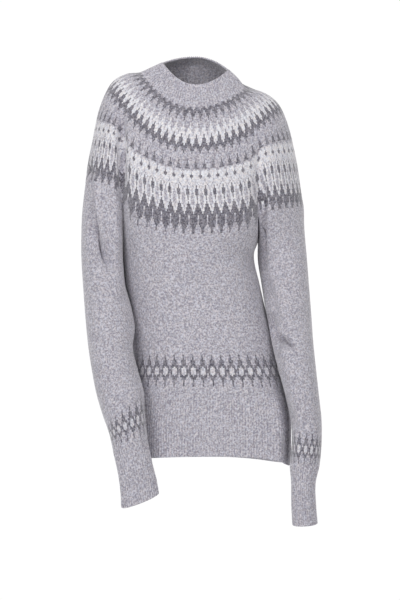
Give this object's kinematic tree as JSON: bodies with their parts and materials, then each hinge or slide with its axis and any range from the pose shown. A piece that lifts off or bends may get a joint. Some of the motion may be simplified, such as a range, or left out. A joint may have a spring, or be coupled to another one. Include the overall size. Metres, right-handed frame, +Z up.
{
  "type": "fair isle sweater",
  "caption": "Hollow worn knit sweater with stand collar, patterned round yoke, long sleeves, ribbed hem and cuffs.",
  "frame": {"origin": "middle of the neck at shoulder height, where the wearer's shoulders hold the sweater", "axes": "+Z up, +Y from the front of the sweater to its back, +X to the right as seen from the front"},
  "size_m": [0.4544, 0.2671, 0.8905],
  "materials": {
    "heather_knit": "brushed mottled wool knit",
    "heather_rib": "brushed mottled wool rib"
  },
  "bodies": {
    "root": {"collar": "heather_rib", "yoke": "heather_knit", "front_body": "heather_knit", "back_body": "heather_knit", "hem_rib_front": "heather_rib", "hem_rib_back": "heather_rib", "sleeve_left": "heather_knit", "sleeve_right": "heather_knit", "cuff_left": "heather_rib", "cuff_right": "heather_rib"}
  },
  "joints": []
}
